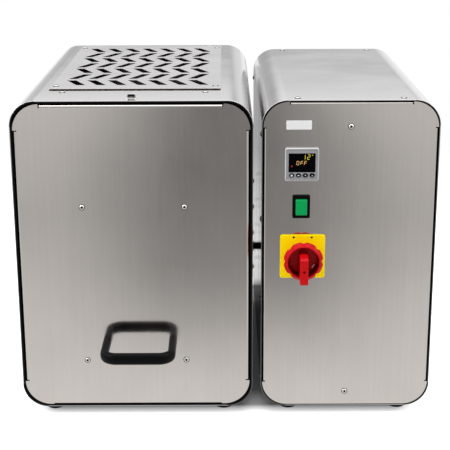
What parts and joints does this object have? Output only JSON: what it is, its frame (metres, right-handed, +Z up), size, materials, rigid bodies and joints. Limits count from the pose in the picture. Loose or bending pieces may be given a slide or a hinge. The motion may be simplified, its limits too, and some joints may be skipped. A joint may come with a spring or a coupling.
{
  "type": "dental lab furnace",
  "caption": "Steel lift-door sintering furnace cabinet with a fibre-lined chamber, joined to a slimmer control cabinet with controller, lit push switch and rotary main switch.",
  "frame": {"origin": "on the bench, under the middle of the whole object's box", "axes": "+X towards the viewer's right from the furnace to the control unit, +Y from the front to the back, +Z up"},
  "size_m": [0.6118, 0.6198, 0.4858],
  "materials": {
    "brushed_steel": "brushed stainless steel, fine grain",
    "door_steel": "brushed stainless steel, upright grain",
    "panel_steel": "brushed stainless steel, upright grain",
    "vent_steel": "brushed stainless steel",
    "polished_steel": "bright",
    "black_painted_steel": "satin black paint",
    "galvanised_steel": "galvanised",
    "aluminium": "mill finish",
    "refractory_board": "matte fibre board",
    "hearth_ceramic": "matte fired ceramic",
    "element_rod": "dark glassy skin",
    "lamination": "varnished laminations",
    "varnished_winding": "varnished copper wire",
    "black_rubber": "matte",
    "black_plastic": "satin black",
    "controller_plastic": "fine texture, grey",
    "switch_plastic": "fine texture",
    "key_black": "satin",
    "display_window": "glossy dark window",
    "green_cap": "translucent green",
    "yellow_plate": "satin yellow",
    "red_knob": "satin red"
  },
  "bodies": {
    "cabinets": {"furnace_shell": "brushed_steel", "control_shell": "brushed_steel", "furnace_rear_panel": "brushed_steel", "control_rear_panel": "brushed_steel", "control_front_panel": "panel_steel", "vent_plate": "vent_steel", "door_catch": "polished_steel", "front_bulkhead": "black_painted_steel", "furnace_chassis": "black_painted_steel", "pivot_bracket_left": "black_painted_steel", "pivot_bracket_right": "black_painted_steel", "inner_casing": "galvanised_steel", "control_chassis": "galvanised_steel", "terminal_strap_left": "aluminium", "terminal_strap_right": "aluminium", "terminal_strap_cross": "aluminium", "thermocouple": "aluminium", "power_stage": "aluminium", "insulation_floor": "refractory_board", "insulation_roof": "refractory_board", "insulation_left": "refractory_board", "insulation_right": "refractory_board", "insulation_back": "refractory_board", "hearth_plate": "hearth_ceramic", "heating_element_left_front": "element_rod", "heating_element_left_rear": "element_rod", "heating_element_right_front": "element_rod", "heating_element_right_rear": "element_rod", "transformer_core": "lamination", "transformer_winding": "varnished_winding", "door_seal": "black_rubber", "interconnect_duct": "black_rubber", "furnace_foot_front_left": "black_rubber", "furnace_foot_front_right": "black_rubber", "furnace_foot_rear_left": "black_rubber", "furnace_foot_rear_right": "black_rubber", "control_foot_front_left": "black_rubber", "control_foot_front_right": "black_rubber", "control_foot_rear_left": "black_rubber", "control_foot_rear_right": "black_rubber", "push_switch_frame": "black_plastic", "mains_inlet": "black_plastic", "controller_case": "controller_plastic", "main_switch_body": "switch_plastic", "contactor": "switch_plastic", "controller_display": "display_window", "main_switch_plate": "yellow_plate"},
    "swing_frame": {"swing_frame": "black_painted_steel"},
    "lower_arm_left": {"lower_arm_left": "black_painted_steel"},
    "lower_arm_right": {"lower_arm_right": "black_painted_steel"},
    "door": {"door_panel": "door_steel", "door_carrier": "black_painted_steel", "door_insulation": "refractory_board", "door_handle": "black_plastic"},
    "main_switch": {"main_switch_knob": "red_knob"},
    "push_switch": {"push_switch_cap": "green_cap"},
    "key_1": {"controller_key_1": "key_black"},
    "key_2": {"controller_key_2": "key_black"},
    "key_3": {"controller_key_3": "key_black"},
    "key_4": {"controller_key_4": "key_black"}
  },
  "joints": [
    {"name": "door_swing", "type": "hinge", "parent": "cabinets", "child": "swing_frame", "pos_m": [-0.132, -0.20513, 0.418], "axis": [-1, 0, 0], "range_deg": [0, 110]},
    {"name": "lower_arm_left_swing", "type": "hinge", "parent": "cabinets", "child": "lower_arm_left", "pos_m": [-0.272, -0.18013, 0.278], "axis": [-1, 0, 0], "range_deg": [0, 110]},
    {"name": "lower_arm_right_swing", "type": "hinge", "parent": "cabinets", "child": "lower_arm_right", "pos_m": [0.008, -0.18013, 0.278], "axis": [-1, 0, 0], "range_deg": [0, 110]},
    {"name": "door_level", "type": "hinge", "parent": "swing_frame", "child": "door", "pos_m": [-0.132, -0.20513, 0.198], "axis": [-1, 0, 0], "range_deg": [-110, 0]},
    {"name": "main_switch_turn", "type": "hinge", "parent": "cabinets", "child": "main_switch", "pos_m": [0.1118, -0.24513, 0.2498], "axis": [0, 1, 0], "range_deg": [0, 90]},
    {"name": "push_switch_press", "type": "slide", "parent": "cabinets", "child": "push_switch", "axis": [0, 1, 0], "range_m": [0, 0.003], "stiffness_N_per_m": 400, "springref_m": -0.001},
    {"name": "key_1_press", "type": "slide", "parent": "cabinets", "child": "key_1", "axis": [0, 1, 0], "range_m": [0, 0.0006], "stiffness_N_per_m": 600, "springref_m": -0.0005},
    {"name": "key_2_press", "type": "slide", "parent": "cabinets", "child": "key_2", "axis": [0, 1, 0], "range_m": [0, 0.0006], "stiffness_N_per_m": 600, "springref_m": -0.0005},
    {"name": "key_3_press", "type": "slide", "parent": "cabinets", "child": "key_3", "axis": [0, 1, 0], "range_m": [0, 0.0006], "stiffness_N_per_m": 600, "springref_m": -0.0005},
    {"name": "key_4_press", "type": "slide", "parent": "cabinets", "child": "key_4", "axis": [0, 1, 0], "range_m": [0, 0.0006], "stiffness_N_per_m": 600, "springref_m": -0.0005}
  ],
  "couplings": [
    {"joint": "lower_arm_left_swing", "follows": "door_swing", "ratio": 1},
    {"joint": "lower_arm_right_swing", "follows": "door_swing", "ratio": 1},
    {"joint": "door_level", "follows": "door_swing", "ratio": -1}
  ]
}
